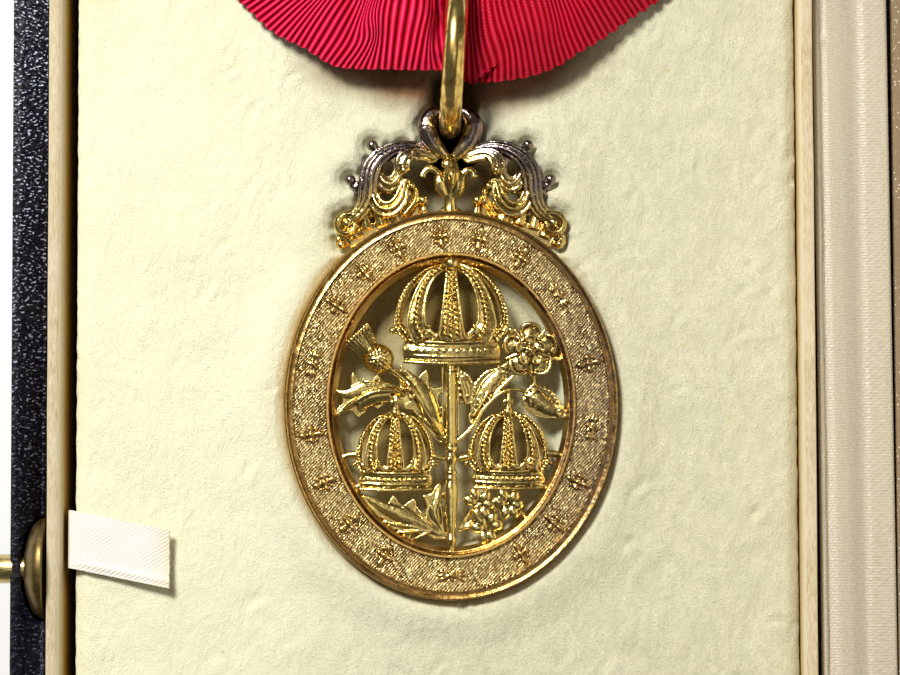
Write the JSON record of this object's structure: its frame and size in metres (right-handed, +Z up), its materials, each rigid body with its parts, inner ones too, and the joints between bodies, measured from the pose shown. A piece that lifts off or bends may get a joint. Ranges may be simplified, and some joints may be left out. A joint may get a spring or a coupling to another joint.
{
  "type": "order badge in a presentation case",
  "caption": "Oval gilt neck badge with pierced crowns and flowers, on its ring and crimson ribbon, lying in an open velvet-lined case with a hinged lid.",
  "frame": {"origin": "middle of the case's underside", "axes": "+Z up; +X towards the hinged side of the case; +Y towards the end where the ribbon lies"},
  "size_m": [0.1274, 0.164, 0.116],
  "materials": {
    "gilt": "old gilding, bright on the high parts, brown in the hollows, with grey-purple tarnish",
    "gold_wire": "polished gilt wire",
    "crimson_silk": "ribbed silk with a soft sheen",
    "cream_velvet": "short cream velvet, rubbed and a little stained",
    "cream_card": "paper-covered card, yellowed",
    "leathercloth": "black grained leathercloth",
    "satin": "white satin, yellowed",
    "brass": "aged brass",
    "cotton_tape": "white twill tape"
  },
  "bodies": {
    "root": {"badge": "gilt", "suspension_ring": "gold_wire", "ribbon": "crimson_silk", "pad": "cream_velvet", "liner": "cream_card", "case_base": "leathercloth", "satin_strip": "satin", "push_button": "brass", "lift_tab": "cotton_tape", "hinge_base_1": "brass", "hinge_base_2": "brass", "hinge_pin_1": "brass", "hinge_pin_2": "brass"},
    "lid": {"lid_shell": "leathercloth", "lid_lining": "satin", "lid_satin": "satin", "hinge_lid_1": "brass", "hinge_lid_2": "brass"}
  },
  "joints": [
    {"name": "lid_hinge", "type": "hinge", "parent": "root", "child": "lid", "pos_m": [0.05045, 0, 0.01535], "axis": [0, 1, 0], "range_deg": [-93, 0]}
  ]
}
